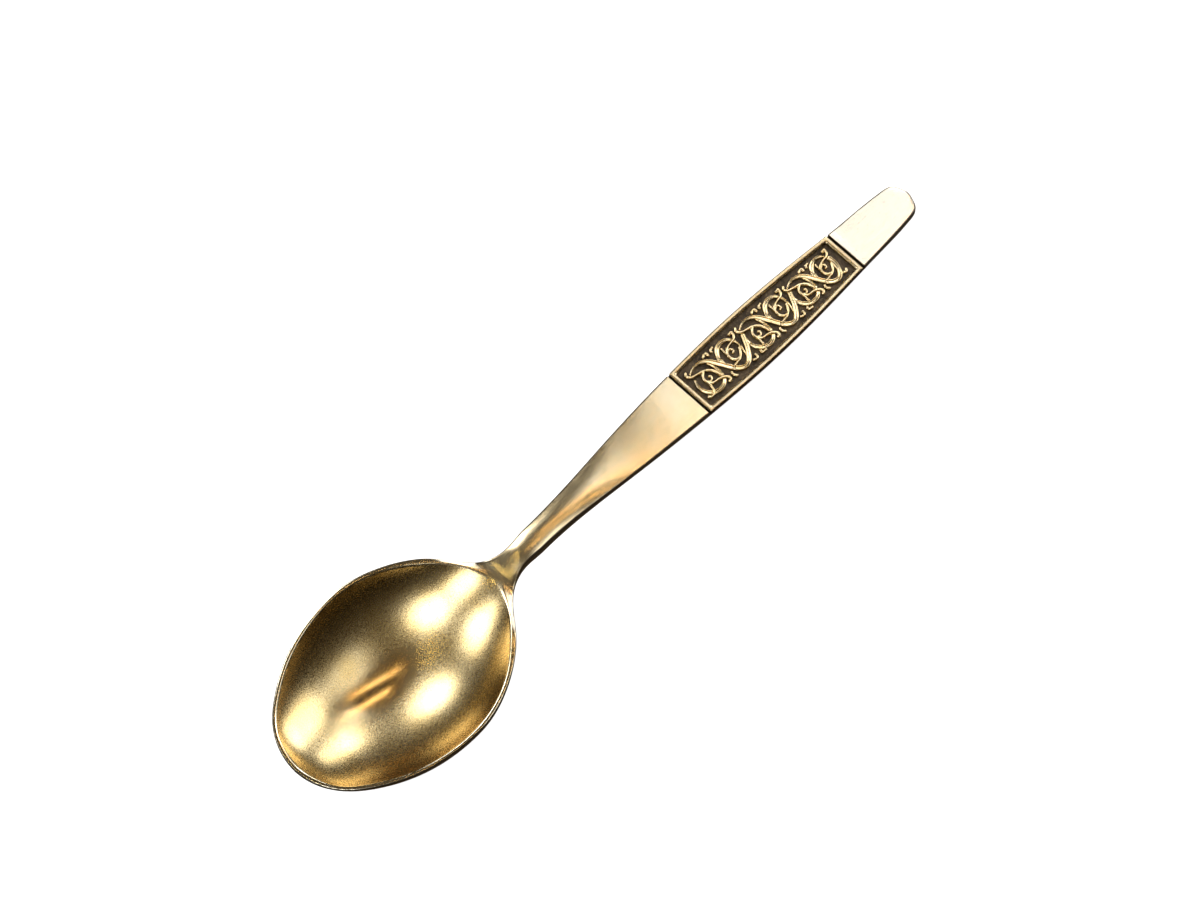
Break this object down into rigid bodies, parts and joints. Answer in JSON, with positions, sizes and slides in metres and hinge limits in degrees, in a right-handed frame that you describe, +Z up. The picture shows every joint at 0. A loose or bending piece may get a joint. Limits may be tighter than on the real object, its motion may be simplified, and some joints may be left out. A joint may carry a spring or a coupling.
{
  "type": "souvenir spoon",
  "caption": "Satin gold-coloured teaspoon with an egg-shaped bowl, a slim stem and a scrollwork plaque on a dark ground let into its flat handle.",
  "frame": {"origin": "on the table, under the middle of the spoon's length and width, as it lies face up", "axes": "+X along the spoon from the bowl's tip to the handle's end, +Y across it, +Z up out of the bowl"},
  "size_m": [0.14, 0.0322, 0.0093],
  "materials": {
    "satin_gold": "satin gold plating, lightly brushed",
    "plaque_gold": "polished gold plating on the plaque's border and floor",
    "relief_gold": "burnished gold plating on raised scrollwork",
    "dark_ground": "dark matted patina"
  },
  "bodies": {
    "root": {"spoon_blank": "satin_gold", "plaque_tray": "plaque_gold", "black_ground": "dark_ground", "vine_1": "relief_gold", "ring_upper_1": "relief_gold", "ring_lower_1": "relief_gold", "tendril_upper_1": "relief_gold", "tendril_lower_1": "relief_gold", "buds_1": "relief_gold", "vine_2": "relief_gold", "ring_upper_2": "relief_gold", "ring_lower_2": "relief_gold", "tendril_upper_2": "relief_gold", "tendril_lower_2": "relief_gold", "buds_2": "relief_gold", "vine_3": "relief_gold", "ring_upper_3": "relief_gold", "ring_lower_3": "relief_gold", "tendril_upper_3": "relief_gold", "tendril_lower_3": "relief_gold", "buds_3": "relief_gold"}
  },
  "joints": []
}
